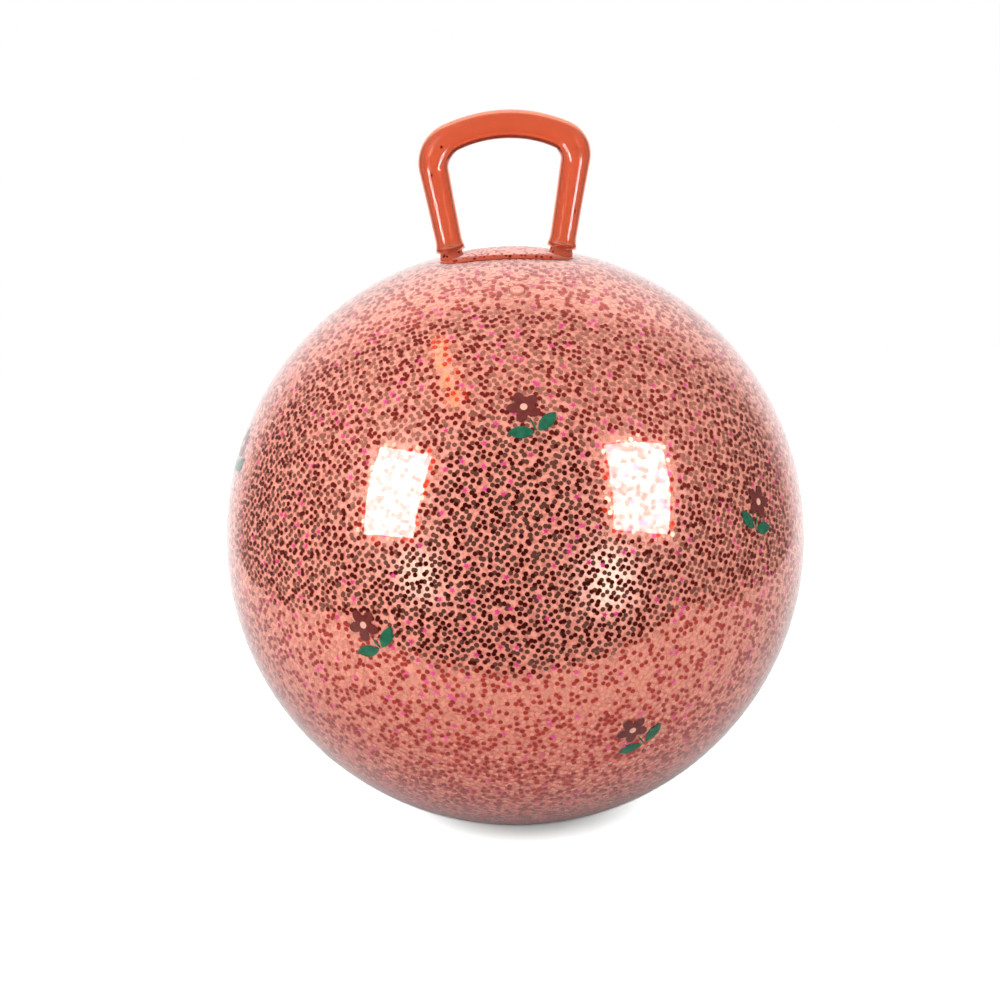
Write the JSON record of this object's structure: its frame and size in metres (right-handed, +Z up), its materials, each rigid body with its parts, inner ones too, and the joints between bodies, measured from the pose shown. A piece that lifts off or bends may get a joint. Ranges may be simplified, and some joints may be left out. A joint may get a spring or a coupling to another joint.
{
  "type": "hopper ball",
  "caption": "Inflated glitter hopper ball that stands on a flat patch, with a hollow D-shaped carrying handle on top and a plugged air valve in front of it.",
  "frame": {"origin": "middle of the flat patch that the ball rests on", "axes": "+Z up through the handle, +X along the handle's grip, -Y towards the air valve"},
  "size_m": [0.4499, 0.45, 0.556],
  "materials": {
    "skin": "clear pink soft vinyl, glossy",
    "base": "translucent orange soft vinyl, glossy",
    "handle": "translucent orange-red soft vinyl, glossy",
    "valve_seat": "translucent soft vinyl, glossy",
    "valve_plug": "pale translucent soft vinyl",
    "copper_foil": "copper-red metallised film",
    "pale_foil": "pale metallised film",
    "magenta_foil": "magenta metallised film"
  },
  "bodies": {
    "ball": {"ball_skin": "skin", "handle_base": "base", "neck_left": "base", "neck_right": "base", "valve_seat": "valve_seat", "glitter_copper": "copper_foil", "glitter_pale": "pale_foil", "glitter_stars": "magenta_foil"},
    "handle": {"handle": "handle"},
    "plug": {"valve_plug": "valve_plug"}
  },
  "joints": [
    {"name": "handle_flex", "type": "hinge", "parent": "ball", "child": "handle", "pos_m": [0, 0, 0.45147], "axis": [1, 0, 0], "range_deg": [-20, 20], "stiffness_Nm_per_rad": 3},
    {"name": "valve_plug_pull", "type": "slide", "parent": "ball", "child": "plug", "axis": [0.0312, -0.3241, 0.9455], "range_m": [0, 0.03]}
  ]
}
